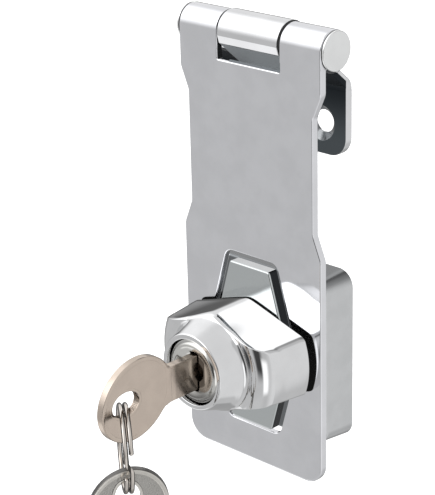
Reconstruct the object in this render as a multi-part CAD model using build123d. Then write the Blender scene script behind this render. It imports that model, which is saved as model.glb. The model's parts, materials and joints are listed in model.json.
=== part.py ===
# Keyed hasp lock: a hinged strap closes over a cast base, and a keyed turn knob holds it shut.
# Millimetres. X to the right, Y towards the wall, Z up. The origin is the knob's axis on the wall plane.
# A depth or "front" value is a distance forward from the wall plane, so its place is y = -value.
from build123d import *
from math import asin, atan2, cos, degrees, hypot, pi, radians, sin, sqrt
import os

# Strap, a pressed plate
plate_width = 42.6
strap_thickness = 1.8
strap_seat_gap = 0.25
strap_bottom = 30.1
strap_corner_radius = 5.0
lower_shoulder_start = 25.9
lower_shoulder_end = 31.6
upper_shoulder_start_drop = 14.65
upper_shoulder_end_drop = 9.25
waist_width = 37.9
shoulder_radius = 3.0
strap_edge_roll = 0.45
hole_edge_roll = 0.35
window_width = 18.8
window_bottom_drop = 5.95

# Hexagon of the plinth; the strap's hole is the same hexagon with a gap all round
plinth_half_length = 20.0
plinth_end_half_width = 6.2
plinth_mid_half_width = 12.0
plinth_corner_radius = 0.8
plinth_edge_chamfer = 0.45
plinth_proud = 0.8
hole_gap = 2.2
hole_bottom_gap = 0.8
hole_corner_radius = 2.6

# Hinge
hinge_height = 73.35
hinge_depth = 5.85
knuckle_radius = 4.65
middle_knuckle_radius = 4.9
leaf_crease_reach = 4.54
pin_radius = 2.8
pin_clearance = 0.06
pin_head_radius = 4.5
pin_head_thickness = 0.8
knuckle_side_gap = 0.2
leaf_thickness = 2.2
leaf_bottom_drop = 25.25
leaf_bend_angle = 50.0
leaf_bend_radius = 1.2
leaf_corner_radius = 4.5
leaf_sweep_gap = 0.35
leaf_screw_half_spacing = 14.0
leaf_screw_drop = 18.15
leaf_screw_radius = 2.6
leaf_countersink_radius = 4.2

# Cast base
base_depth = 8.4
base_draft = 5.4
base_rear_width = 43.6
base_rear_height = 41.8
base_corner_radius = 4.0
base_wall = 2.2
base_front_wall = 2.4
base_edge_radius = 0.8
plinth_ceiling = 2.2
boss_radius = 14.8
boss_rear = 4.0
base_screw_half_spacing_x = 16.2
base_screw_half_spacing_z = 14.8
base_screw_radius = 2.2
base_countersink_radius = 4.0
base_screw_boss_radius = 4.2

# Knob
knob_gap = 0.35
knob_tip_radius = 18.9
knob_tip_front_radius = 17.6
knob_mid_half_height = 12.4
knob_taper = 0.32
knob_mid_corner_radius = 7.0
knob_tip_corner_radius = 1.2
knob_tip_front = 20.2
knob_shoulder_front = 24.6
knob_shoulder_radius = 13.2
knob_cone_rear_radius = 12.3
knob_cone_rear = 17.4
knob_rim_front = 30.85
knob_rim_radius = 9.1
knob_edge_radius = 0.5
knob_crease_radius = 1.4
knob_pocket_wall = 2.3
knob_pocket_depth = 5.0
cylinder_bore_radius = 7.95
spindle_radius = 8.95
spindle_inner_radius = 7.6
spindle_end = 0.9
spindle_clearance = 0.05
spindle_groove_depth = 0.5

# Lock cylinder
head_radius = 7.7
head_front = 30.6
head_rear = 26.7
head_roll_drop = 1.3
head_mouth_radius = 2.65
head_mouth_depth = 1.5
plug_radius = 5.85
plug_clearance = 0.05
plug_rear = 10.5
sleeve_rear = 10.6
sleeve_front = 26.6
sleeve_channel_radius = 6.9
keyway_width = 2.15
keyway_half_height = 4.5
keyway_rear = 14.3
mouth_slot_width = 2.5
mouth_slot_half_height = 5.6
wafer_count = 5
first_wafer_front = 24.6
wafer_pitch = 2.1
wafer_thickness = 0.8
wafer_slot_clearance = 0.05
wafer_half_width = 2.6
wafer_window_clearance = 0.12
wafer_arm_reach = 4.5
wafer_arm_low = 0.7
wafer_arm_high = 1.7
spring_pocket_half = 0.75
spring_pocket_low = 3.2
spring_coil_radius = 0.5
spring_wire_radius = 0.13
spring_turns = 5
spring_seat_gap = 0.05

# Bolt drive
cam_radius = 7.1
cam_front = 10.4
cam_rear = 8.5
groove_depth = 1.2
groove_half_width = 0.9
groove_overrun = 4.0
tail_size = 4.2
tail_clearance = 0.05
cam_screw_head_radius = 1.9
cam_screw_radius = 1.0
cam_screw_head_height = 0.9
cam_screw_front = 13.0
bolt_travel = 2.2
follower_start = 3.3
follower_radius = 0.8
bolt_width = 5.0
bolt_front = 8.3
bolt_rear = 6.3
bolt_inner_end = 2.3
bolt_outer_end = 8.5
slide_clearance = 0.1
cover_thickness = 1.0
socket_end_gap = 0.6

# Rings and washers behind the base
spring_washer_thickness = 0.3
spring_washer_height = 0.6
washer_radius = 12.0
stop_washer_thickness = 0.9
stop_tab_half_width = 2.0
stop_tab_reach = 14.5
stop_post_radius = 1.2
stop_post_place = 13.4
stop_gap = 0.15
stack_gap = 0.05
retaining_ring_thickness = 0.8
retaining_ring_radius = 10.4
retaining_ring_mouth = 4.0

# Keys and ring
key_thickness = 2.0
blade_thickness = 1.85
blade_half_height = 4.3
blade_tip = 14.7
blade_point_length = 2.0
blade_cut_depth = 0.6
bow_centre = 48.6
bow_half_length = 10.75
bow_half_height = 9.1
bow_tilt = 26.0
bow_upper_fillet = 1.2
bow_lower_fillet = 4.5
bow_rim_width = 1.1
bow_recess_depth = 0.2
bow_recess_start = 40.4
key_hole_centre = 52.0
key_hole_half_length = 3.9
key_hole_radius = 2.7
ring_wire_radius = 0.6
ring_radius = 9.6
ring_turn_pitch = 1.26
ring_step_angle = 9.0
ring_end_angle = 17.0
ring_seat_gap = 0.8
ring_plan_angle = 52.0

# Places worked out from the sizes above
half_width = plate_width / 2
strap_back = base_depth + strap_seat_gap
strap_front = strap_back + strap_thickness
plinth_front = strap_front + plinth_proud
knob_rear = plinth_front + knob_gap
hinge_y = -hinge_depth
upper_shoulder_start = hinge_height - upper_shoulder_start_drop
upper_shoulder_end = hinge_height - upper_shoulder_end_drop
window_bottom = hinge_height - window_bottom_drop
leaf_bottom = hinge_height - leaf_bottom_drop
leaf_screw_height = hinge_height - leaf_screw_drop
spindle_bore_radius = spindle_radius + spindle_clearance
cam_seat = plug_rear - cam_front
stop_washer_front = boss_rear - spring_washer_height - stack_gap
stop_washer_rear = stop_washer_front - stop_washer_thickness
ring_groove_front = stop_washer_rear - stack_gap
ring_groove_rear = ring_groove_front - retaining_ring_thickness - stack_gap


def prism(outline, rear, front):
    """A flat outline in x and z, thickened between two depths in front of the wall plane."""
    return extrude(Plane.XZ.offset(rear) * outline, amount=front - rear)


def turned(points):
    """A closed profile of (radius, front) corners turned about the knob's axis."""
    corners = [(radius, -front) for radius, front in points]
    return revolve(make_face(Polyline(*corners, close=True)), axis=Axis.Y)


def block(x_low, x_high, rear, front, z_low, z_high):
    """A box given by its limits in x, depth and z."""
    outline = Pos((x_low + x_high) / 2, (z_low + z_high) / 2) * Rectangle(x_high - x_low, z_high - z_low)
    return prism(outline, rear, front)


def hexagon(half_length, end_half_width, mid_half_width, along_z):
    """Six corners: the long way is z or x, widest in the middle."""
    corners = [
        (end_half_width, half_length),
        (mid_half_width, 0),
        (end_half_width, -half_length),
        (-end_half_width, -half_length),
        (-mid_half_width, 0),
        (-end_half_width, half_length),
    ]
    if not along_z:
        corners = [(z, x) for x, z in corners]
    return make_face(Polyline(*corners, close=True))


def strap_hole(gap, bottom_gap, corner_radius):
    """The plinth's hexagon moved outwards by a gap, closer at its lower end, with its end corners rounded."""
    slope = (plinth_mid_half_width - plinth_end_half_width) / plinth_half_length
    side_shift = gap * sqrt(1 + slope * slope)
    half_length = plinth_half_length + gap
    end_half_width = plinth_end_half_width + side_shift - gap * slope
    shape = hexagon(half_length, end_half_width, plinth_mid_half_width + side_shift, True)
    low = -plinth_half_length - bottom_gap
    shape &= Pos(0, (low + half_length) / 2) * Rectangle(4 * plinth_mid_half_width, half_length - low)
    corners = shape.vertices().filter_by(lambda corner: abs(corner.Y) > half_length / 2)
    return fillet(corners, corner_radius)


def countersunk_hole(x, z, front, rear, radius, sink_radius):
    """A screw hole through a plate, with a 90 degree countersink at its front face."""
    sink_depth = sink_radius - radius
    hole = Pos(x, 0, z) * prism(Circle(radius), rear - 1, front + 1)
    sink = turned([(0, front), (sink_radius, front), (radius, front - sink_depth), (0, front - sink_depth)])
    return hole + Pos(x, 0, z) * sink


def make_strap():
    wide = half_width
    narrow = waist_width / 2
    plate_top = hinge_height - sqrt(knuckle_radius ** 2 - (strap_front - hinge_depth) ** 2)
    right = [
        (wide, -strap_bottom),
        (wide, lower_shoulder_start),
        (narrow, lower_shoulder_end),
        (narrow, upper_shoulder_start),
        (wide, upper_shoulder_end),
        (wide, plate_top),
    ]
    left = [(-x, z) for x, z in reversed(right)]
    outline = make_face(Polyline(*right, *left, close=True))
    bottom = outline.vertices().filter_by(lambda corner: corner.Y < 0)
    outline = fillet(bottom, strap_corner_radius)
    low = min(lower_shoulder_start, upper_shoulder_start) - 1
    shoulders = outline.vertices().filter_by(lambda corner: low < corner.Y < upper_shoulder_end + 1)
    outline = fillet(shoulders, shoulder_radius)
    plate = prism(outline, strap_back, strap_front)
    front = plate.faces().sort_by(Axis.Y)[0]
    rolled = front.outer_wire().edges().filter_by(lambda edge: edge.center().Z < plate_top - 0.01)
    plate = fillet(rolled, strap_edge_roll)
    plate -= prism(strap_hole(hole_gap, hole_bottom_gap, hole_corner_radius), strap_back - 1, strap_front + 1)
    hole_reach = plinth_half_length + hole_gap + 0.1
    front = plate.faces().filter_by(Axis.Y).sort_by(Axis.Y)[0]
    hole_edges = front.edges().filter_by(
        lambda edge: abs(edge.center().Z) < hole_reach and abs(edge.center().X) < half_width - 3
    )
    plate = fillet(hole_edges, hole_edge_roll)
    barrel_face = Plane.YZ * Pos(hinge_y, hinge_height) * (Circle(knuckle_radius) - Circle(pin_radius))
    barrel = extrude(Pos(-half_width, 0, 0) * barrel_face, amount=plate_width)
    window = block(-window_width / 2, window_width / 2, 0, strap_front + knuckle_radius,
                   window_bottom, hinge_height + 2 * knuckle_radius)
    return plate + barrel - window


def make_hinge_leaf():
    angle = radians(leaf_bend_angle)
    along = (-sin(angle), cos(angle))
    under = (-cos(angle), -sin(angle))
    lower_distance = leaf_crease_reach
    upper_distance = leaf_crease_reach - leaf_thickness
    upper_foot = (hinge_y + under[0] * upper_distance, hinge_height + under[1] * upper_distance)
    lower_foot = (hinge_y + under[0] * lower_distance, hinge_height + under[1] * lower_distance)
    rear_corner = upper_foot[1] + upper_foot[0] / tan_of(angle)
    front_corner = lower_foot[1] + (lower_foot[0] + leaf_thickness) / tan_of(angle)
    profile = make_face(Polyline(
        (0, leaf_bottom), (0, rear_corner), upper_foot, lower_foot,
        (-leaf_thickness, front_corner), (-leaf_thickness, leaf_bottom), close=True,
    ))
    bend_rear = profile.vertices().sort_by_distance(Vertex(0, rear_corner, 0))[0]
    profile = fillet(bend_rear, leaf_bend_radius + leaf_thickness)
    bend_front = profile.vertices().sort_by_distance(Vertex(-leaf_thickness, front_corner, 0))[0]
    profile = fillet(bend_front, leaf_bend_radius)
    strip = extrude(Pos(-half_width, 0, 0) * (Plane.YZ * profile), amount=plate_width)
    tongue_half = window_width / 2 - knuckle_side_gap
    sweep_face = Plane.YZ * Pos(hinge_y, hinge_height) * Circle(knuckle_radius + leaf_sweep_gap)
    for start in (-half_width - 1, tongue_half):
        strip -= extrude(Pos(start, 0, 0) * sweep_face, amount=half_width + 1 - tongue_half)
    bottom_edges = strip.edges().filter_by(Axis.Y).filter_by(lambda edge: edge.center().Z < leaf_bottom + 0.01)
    strip = fillet(bottom_edges, leaf_corner_radius)
    knuckle_face = Plane.YZ * Pos(hinge_y, hinge_height) * Circle(middle_knuckle_radius)
    bore_face = Plane.YZ * Pos(hinge_y, hinge_height) * Circle(pin_radius + pin_clearance)
    knuckle = extrude(Pos(-tongue_half, 0, 0) * knuckle_face, amount=2 * tongue_half)
    leaf = strip + knuckle
    leaf -= extrude(Pos(-half_width, 0, 0) * bore_face, amount=plate_width)
    for x in (-leaf_screw_half_spacing, leaf_screw_half_spacing):
        leaf -= countersunk_hole(x, leaf_screw_height, leaf_thickness, 0, leaf_screw_radius,
                                 leaf_countersink_radius)
    return leaf


def tan_of(angle):
    return sin(angle) / cos(angle)


def make_hinge_pin():
    shank = extrude(Pos(-half_width, 0, 0) * (Plane.YZ * Pos(hinge_y, hinge_height) * Circle(pin_radius)),
                    amount=plate_width)
    head = extrude(Pos(half_width, 0, 0) * (Plane.YZ * Pos(hinge_y, hinge_height) * Circle(pin_head_radius)),
                   amount=pin_head_thickness)
    head = fillet(head.edges().sort_by(Axis.X)[-1], pin_head_thickness / 3)
    return shank + head


def make_hinge_pin_cap():
    face = Plane.YZ * Pos(hinge_y, hinge_height) * Circle(pin_head_radius)
    cap = extrude(Pos(-half_width, 0, 0) * face, amount=-pin_head_thickness)
    return fillet(cap.edges().sort_by(Axis.X)[0], pin_head_thickness / 3)


def make_lock_base():
    outline = RectangleRounded(base_rear_width, base_rear_height, base_corner_radius)
    body = extrude(Plane.XZ * outline, amount=base_depth, taper=base_draft)
    front = body.faces().filter_by(Axis.Y).sort_by(Axis.Y)[0]
    body = fillet(front.outer_wire().edges(), base_edge_radius)
    cavity_outline = RectangleRounded(base_rear_width - 2 * base_wall, base_rear_height - 2 * base_wall,
                                      base_corner_radius - base_wall)
    cavity = extrude(Plane.XZ * cavity_outline, amount=base_depth - base_front_wall, taper=base_draft)
    hexagon_face = hexagon(plinth_half_length, plinth_end_half_width, plinth_mid_half_width, True)
    corners = hexagon_face.vertices().filter_by(lambda corner: abs(corner.Y) > plinth_half_length / 2)
    plinth = prism(fillet(corners, plinth_corner_radius), base_depth - base_front_wall, plinth_front)
    front = plinth.faces().filter_by(Axis.Y).sort_by(Axis.Y)[0]
    plinth = chamfer(front.outer_wire().edges(), plinth_edge_chamfer)
    hollow_face = hexagon(plinth_half_length - 2 * base_wall, plinth_end_half_width - base_wall / 2,
                          plinth_mid_half_width - base_wall, True)
    plinth_hollow = prism(hollow_face, base_depth - base_front_wall, plinth_front - plinth_ceiling)
    boss = prism(Circle(boss_radius), boss_rear, base_depth)
    boss += prism(Circle(plinth_mid_half_width - base_wall / 2), boss_rear, plinth_front - plinth_ceiling)
    base = body - cavity + plinth - plinth_hollow + boss
    for x in (-base_screw_half_spacing_x, base_screw_half_spacing_x):
        for z in (-base_screw_half_spacing_z, base_screw_half_spacing_z):
            base += Pos(x, 0, z) * prism(Circle(base_screw_boss_radius), 0, base_depth - base_front_wall / 2)
    outside = extrude(Plane.XZ * outline, amount=base_depth, taper=base_draft)
    base = base & (outside + prism(hexagon_face, base_depth - base_front_wall, plinth_front))
    for x in (-base_screw_half_spacing_x, base_screw_half_spacing_x):
        for z in (-base_screw_half_spacing_z, base_screw_half_spacing_z):
            base -= countersunk_hole(x, z, base_depth, 0, base_screw_radius, base_countersink_radius)
    base -= prism(Circle(spindle_bore_radius), 0, plinth_front + 1)
    reach = bolt_outer_end + bolt_travel + socket_end_gap
    half = bolt_width / 2 + 2 * slide_clearance
    low = bolt_rear - 2 * slide_clearance
    high = bolt_front + 2 * slide_clearance
    base -= block(-half, half, low, high, -reach, 0)
    base -= block(-reach, 0, low, high, -half, half)
    swing = asin((stop_tab_half_width + stop_post_radius + stop_gap) / stop_post_place)
    first = (stop_post_place * sin(swing), -stop_post_place * cos(swing))
    second = (-stop_post_place * cos(swing), stop_post_place * sin(swing))
    for x, z in (first, second):
        base += Pos(x, 0, z) * prism(Circle(stop_post_radius), stop_washer_rear - stack_gap, boss_rear + 0.5)
    return base


def make_knob():
    reach = knob_tip_radius + 2
    corners = [
        (-reach, knob_mid_half_height - knob_taper * reach),
        (0, knob_mid_half_height),
        (reach, knob_mid_half_height - knob_taper * reach),
        (reach, -knob_mid_half_height + knob_taper * reach),
        (0, -knob_mid_half_height),
        (-reach, -knob_mid_half_height + knob_taper * reach),
    ]
    outline = make_face(Polyline(*corners, close=True)) & Circle(knob_tip_radius)
    middle = outline.vertices().filter_by(lambda corner: abs(corner.X) < 1)
    outline = fillet(middle, knob_mid_corner_radius)
    tips = outline.vertices().filter_by(lambda corner: abs(corner.X) > knob_tip_radius / 2)
    outline = fillet(tips, knob_tip_corner_radius)
    wings = prism(outline, knob_rear, knob_shoulder_front)
    shoulder_line = Polyline((knob_tip_radius, -knob_rear), (0, -knob_rear), (0, -knob_shoulder_front),
                             (knob_shoulder_radius, -knob_shoulder_front))
    shoulder_arc = ThreePointArc(
        (knob_shoulder_radius, -knob_shoulder_front),
        (knob_shoulder_radius + 0.68 * (knob_tip_front_radius - knob_shoulder_radius),
         -knob_shoulder_front + 0.38 * (knob_shoulder_front - knob_tip_front)),
        (knob_tip_front_radius, -knob_tip_front),
    )
    closing = Line((knob_tip_front_radius, -knob_tip_front), (knob_tip_radius, -knob_rear))
    shoulder = revolve(make_face(shoulder_line + shoulder_arc + closing), axis=Axis.Y)
    wings = wings & shoulder
    cone = turned([(0, knob_rear), (knob_cone_rear_radius - 1, knob_rear), (knob_cone_rear_radius, knob_cone_rear),
                   (knob_rim_radius, knob_rim_front), (0, knob_rim_front)])
    knob = wings + cone
    spindle = prism(Circle(spindle_radius), spindle_end, knob_rear + 1)
    groove = prism(Circle(spindle_radius + 1) - Circle(spindle_radius - spindle_groove_depth),
                   ring_groove_rear, ring_groove_front)
    pocket_outline = offset(outline, amount=-knob_pocket_wall, kind=Kind.INTERSECTION)
    pocket = prism(pocket_outline, knob_rear, knob_rear + knob_pocket_depth)
    pocket -= prism(Circle(knob_cone_rear_radius - 1), knob_rear - 1, knob_rear + knob_pocket_depth + 1)
    knob = knob - pocket + spindle - groove
    knob -= prism(Circle(cylinder_bore_radius), sleeve_rear - stack_gap, knob_rim_front + 1)
    knob -= prism(Circle(spindle_inner_radius), spindle_end - 1, knob_rear)
    slot_half = bolt_width / 2 + slide_clearance
    knob -= block(-slot_half, slot_half, spindle_end - 1, bolt_front + slide_clearance, -spindle_radius - 1, 0)
    rim = knob.edges().filter_by(GeomType.CIRCLE).filter_by(
        lambda edge: abs(edge.center().Y + knob_rim_front) < 0.01
    )
    return fillet(rim, knob_edge_radius)


def make_cylinder_sleeve():
    sleeve = prism(Circle(cylinder_bore_radius) - Circle(plug_radius + plug_clearance), sleeve_rear, sleeve_front)
    half = wafer_half_width + 2 * slide_clearance
    top = first_wafer_front + wafer_pitch / 2
    bottom = first_wafer_front - (wafer_count - 0.5) * wafer_pitch
    channel = block(-half, half, bottom, top, -sleeve_channel_radius, sleeve_channel_radius)
    return sleeve - channel


def wafer_centre(index):
    return first_wafer_front - index * wafer_pitch


def make_plug():
    outline = Polyline((0, -plug_rear), (plug_radius, -plug_rear), (plug_radius, -head_rear), (head_radius, -head_rear),
                       (head_radius, -(head_front - head_roll_drop)))
    dish = head_front - head_roll_drop
    face = Spline((head_radius, -dish), (0.95 * head_radius, -(dish + 0.8)), (0.84 * head_radius, -head_front),
                  (0.68 * head_radius, -(dish + 0.5)), (0.4 * head_radius, -dish), (0, -(dish - 0.1)))
    axis_line = Line((0, -(dish - 0.1)), (0, -plug_rear))
    plug = revolve(make_face(outline + face + axis_line), axis=Axis.Y)
    tail_front = plug_rear + 0.5
    plug += prism(Rectangle(tail_size, tail_size), cam_rear + cam_screw_head_height, tail_front)
    plug -= prism(Circle(head_mouth_radius), dish - head_mouth_depth, head_front + 1)
    plug -= block(-mouth_slot_width / 2, mouth_slot_width / 2, head_rear + 0.5, head_front + 1,
                  -mouth_slot_half_height, mouth_slot_half_height)
    plug -= block(-keyway_width / 2, keyway_width / 2, keyway_rear, head_front + 1,
                  -keyway_half_height, keyway_half_height)
    plug -= prism(Circle(cam_screw_radius), 0, cam_screw_front)
    for index in range(wafer_count):
        centre = wafer_centre(index)
        half = wafer_thickness / 2 + wafer_slot_clearance
        side = wafer_half_width + wafer_slot_clearance
        plug -= block(-side, side, centre - half, centre + half, -plug_radius - 1, plug_radius + 1)
        plug -= block(side - 0.1, wafer_arm_reach + slide_clearance, centre - spring_pocket_half,
                      centre + spring_pocket_half, -spring_pocket_low, wafer_arm_high + 4 * slide_clearance)
    return plug


def make_wafer(index):
    centre = wafer_centre(index)
    half = wafer_thickness / 2
    plate = prism(Rectangle(2 * wafer_half_width, 2 * plug_radius) & Circle(plug_radius - slide_clearance),
                  centre - half, centre + half)
    arm = block(wafer_half_width - 0.5, wafer_arm_reach, centre - half, centre + half, wafer_arm_low, wafer_arm_high)
    window_half_width = blade_thickness / 2 + wafer_window_clearance
    window_half_height = blade_half_height + wafer_window_clearance
    window = block(-window_half_width, window_half_width, centre - 1, centre + 1,
                   -window_half_height, window_half_height)
    return plate + arm - window


def make_wafer_spring(index):
    low = -spring_pocket_low + spring_wire_radius + spring_seat_gap
    height = wafer_arm_low - spring_wire_radius - spring_seat_gap - low
    path = Helix(pitch=height / spring_turns, height=height, radius=spring_coil_radius)
    section = Plane(origin=path @ 0, z_dir=path % 0) * Circle(spring_wire_radius)
    place_x = (wafer_half_width + wafer_arm_reach) / 2 + slide_clearance
    return Pos(place_x, -wafer_centre(index), low) * sweep(section, path=path, is_frenet=True)


def follower_radius_at(turn):
    """Distance of the bolt's pin from the axis after the plug has turned by some degrees."""
    return follower_start + bolt_travel * turn / 90


def make_drive_cam():
    cam = prism(Circle(cam_radius) - Rectangle(tail_size + 2 * tail_clearance, tail_size + 2 * tail_clearance),
                cam_rear + cam_screw_head_height, cam_front)
    cam += prism(Circle(cam_radius) - Circle(cam_screw_head_radius + tail_clearance), cam_rear,
                 cam_rear + cam_screw_head_height)
    steps = 9
    centre_line = []
    for step in range(steps):
        turn = -groove_overrun + step * (90 + 2 * groove_overrun) / (steps - 1)
        reach = follower_radius_at(turn)
        centre_line.append((reach * sin(radians(turn)), -reach * cos(radians(turn))))
    groove = trace(Spline(*centre_line), line_width=2 * groove_half_width)
    for x, z in (centre_line[0], centre_line[-1]):
        groove += Pos(x, z) * Circle(groove_half_width)
    return cam - prism(groove, cam_rear - 1, cam_rear + groove_depth)


def make_cam_screw():
    head = turned([(0, cam_rear), (cam_screw_head_radius, cam_rear),
                   (cam_screw_radius, cam_rear + cam_screw_head_height), (0, cam_rear + cam_screw_head_height)])
    screw = head + prism(Circle(cam_screw_radius), cam_rear, cam_screw_front)
    slot = block(-cam_screw_head_radius, cam_screw_head_radius, cam_rear - 1, cam_rear + 0.4, -0.25, 0.25)
    return screw - slot


def make_lock_bolt():
    bolt = block(-bolt_width / 2, bolt_width / 2, bolt_rear, bolt_front, -bolt_outer_end, -bolt_inner_end)
    bolt = bolt & prism(Circle(spindle_radius - 0.05), bolt_rear, bolt_front)
    pin_front = cam_rear + groove_depth - slide_clearance
    return bolt + Pos(0, 0, -follower_start) * prism(Circle(follower_radius), bolt_rear, pin_front)


def make_bolt_cover():
    front = bolt_rear - slide_clearance
    return prism(Circle(spindle_inner_radius), front - cover_thickness, front)


def make_spring_washer():
    inner = spindle_bore_radius + slide_clearance
    return turned([(inner, boss_rear - stack_gap), (inner, boss_rear - stack_gap - spring_washer_thickness),
                   (washer_radius, boss_rear - spring_washer_height),
                   (washer_radius, boss_rear - spring_washer_height + spring_washer_thickness)])


def make_stop_washer():
    plate = Circle(washer_radius) + Pos(0, -stop_tab_reach / 2) * Rectangle(2 * stop_tab_half_width, stop_tab_reach)
    plate -= Circle(spindle_bore_radius)
    key_half = bolt_width / 2 - slide_clearance
    plate += Pos(0, -(spindle_bore_radius + spindle_inner_radius) / 2 - 0.2) * Rectangle(
        2 * key_half, spindle_bore_radius - spindle_inner_radius + 0.6)
    return prism(plate, stop_washer_rear, stop_washer_front)


def make_retaining_ring():
    inner = spindle_radius - spindle_groove_depth + stack_gap
    ring = Circle(retaining_ring_radius) - Circle(inner)
    ring -= Pos(0, retaining_ring_radius) * Rectangle(retaining_ring_mouth, 2 * (retaining_ring_radius - inner) + 2)
    rear = ring_groove_rear + stack_gap / 2
    return prism(ring, rear, rear + retaining_ring_thickness)


def key_outline():
    """The key seen from its side, in (distance in front of the wall, height)."""
    bow = Pos(bow_centre, 0) * Rot(0, 0, -bow_tilt) * Ellipse(bow_half_length, bow_half_height)
    blade_length = bow_centre - blade_tip
    blade = Pos(blade_tip + blade_length / 2, 0) * Rectangle(blade_length, 2 * blade_half_height)
    outline = bow + blade
    necks = outline.vertices().filter_by(
        lambda corner: blade_tip + 1 < corner.X < bow_centre and abs(corner.Y) < bow_half_height
    )
    upper = necks.sort_by(Axis.Y)[-1]
    outline = fillet(upper, bow_upper_fillet)
    lower = outline.vertices().filter_by(
        lambda corner: blade_tip + 1 < corner.X < bow_centre and corner.Y < 0
    ).sort_by(Axis.Y)[-1]
    outline = fillet(lower, bow_lower_fillet)
    tips = outline.vertices().filter_by(lambda corner: corner.X < blade_tip + 1)
    return chamfer(tips, blade_point_length)


def make_key_shape():
    """A key in the plane x = 0, its blade pointing at the wall."""
    side_plane = Plane(origin=(0, 0, 0), x_dir=(0, -1, 0), z_dir=(-1, 0, 0))
    key = extrude(side_plane * key_outline(), amount=key_thickness / 2, both=True)
    neck = bow_centre - bow_half_length - 0.5
    beside_blade = block(-key_thickness, key_thickness, blade_tip - 1, neck, -bow_half_height, bow_half_height)
    blade_space = block(-blade_thickness / 2, blade_thickness / 2, 0, neck + 1, -bow_half_height, bow_half_height)
    key -= beside_blade - blade_space
    panel = Pos(bow_centre, 0) * Rot(0, 0, -bow_tilt) * Ellipse(bow_half_length - bow_rim_width,
                                                                bow_half_height - bow_rim_width)
    panel &= Pos(bow_recess_start + bow_half_length, 0) * Rectangle(2 * bow_half_length, 2 * bow_half_height)
    recess = extrude(side_plane * panel, amount=key_thickness, both=True)
    core = block(-key_thickness / 2 + bow_recess_depth, key_thickness / 2 - bow_recess_depth, 0, 2 * bow_centre,
                 -bow_half_height, bow_half_height)
    key -= recess - core
    flat = key_hole_half_length - key_hole_radius
    hole = Pos(key_hole_centre, 0) * SlotCenterToCenter(2 * flat, 2 * key_hole_radius)
    key -= extrude(side_plane * hole, amount=key_thickness, both=True)
    for index in range(wafer_count):
        depth = blade_cut_depth * (1 + index % 2) / 2
        front = wafer_centre(index)
        for side in (-1, 1):
            z_edge = side * blade_half_height
            z_inner = side * (blade_half_height - depth)
            notch = make_face(Polyline((front - wafer_pitch / 2, z_edge), (front - 0.3, z_inner),
                                       (front + 0.3, z_inner), (front + wafer_pitch / 2, z_edge),
                                       (front, z_edge + side), close=True))
            key -= extrude(side_plane * notch, amount=key_thickness, both=True)
    return key


ring_top_height = -key_hole_radius + ring_wire_radius + ring_seat_gap
ring_centre_height = ring_top_height - ring_radius
ring_bottom_height = ring_centre_height - ring_radius


def make_split_ring():
    """Two flat turns side by side, joined by a short step on the side towards the viewer."""
    offset_along = ring_turn_pitch / 2
    step = ring_step_angle
    end = ring_end_angle

    def turn(along, first, last):
        section = Plane.XZ * Pos(ring_radius, along) * Circle(ring_wire_radius)
        return Rot(0, 0, first) * revolve(section, axis=Axis.Z, revolution_arc=last - first)

    def place(angle, along):
        return (ring_radius * cos(radians(angle)), ring_radius * sin(radians(angle)), along)

    def heading(angle):
        return (-sin(radians(angle)), cos(radians(angle)), 0)

    first_turn = turn(-offset_along, end - 180, 180 - step)
    second_turn = turn(offset_along, step - 180, 180 - end)
    path = Spline(place(180 - step, -offset_along), place(180 + step, offset_along),
                  tangents=[heading(180 - step), heading(180 + step)])
    section = Plane(origin=path @ 0, z_dir=path % 0) * Circle(ring_wire_radius)
    coil = first_turn + second_turn + sweep(section, path=path)
    stand = Rot(0, 0, ring_plan_angle + 90) * Rot(90, 0, 0)
    return Pos(0, -key_hole_centre, ring_centre_height) * stand * coil


def make_spare_key():
    """The same key turned so that its hole hangs on the ring's lowest point and its blade points down."""
    hole_end = key_hole_centre + key_hole_half_length
    wire_top = ring_bottom_height + ring_wire_radius + ring_seat_gap
    hung = Pos(0, 0, wire_top - hole_end) * Rot(-90, 0, 0) * make_key_shape()
    return Pos(0, -key_hole_centre, 0) * Rot(0, 0, ring_plan_angle + 90) * hung


os.makedirs("parts", exist_ok=True)
pieces = {
    "strap": make_strap,
    "hinge_leaf": make_hinge_leaf,
    "hinge_pin": make_hinge_pin,
    "hinge_pin_cap": make_hinge_pin_cap,
    "lock_base": make_lock_base,
    "knob": make_knob,
    "cylinder_sleeve": make_cylinder_sleeve,
    "plug": make_plug,
    "drive_cam": make_drive_cam,
    "cam_screw": make_cam_screw,
    "lock_bolt": make_lock_bolt,
    "bolt_cover": make_bolt_cover,
    "spring_washer": make_spring_washer,
    "stop_washer": make_stop_washer,
    "retaining_ring": make_retaining_ring,
    "key": make_key_shape,
    "split_ring": make_split_ring,
    "spare_key": make_spare_key,
}
for name, make in pieces.items():
    export_step(make(), f"parts/{name}.step")
for index in range(wafer_count):
    export_step(make_wafer(index), f"parts/wafer_{index + 1}.step")
    export_step(make_wafer_spring(index), f"parts/wafer_spring_{index + 1}.step")
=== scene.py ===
import json
from math import atan2, cos, pi, radians, sin, sqrt, tan

import bmesh
import bpy
import numpy as np
from mathutils import Euler, Matrix, Vector
from mathutils.geometry import delaunay_2d_cdt


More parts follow.
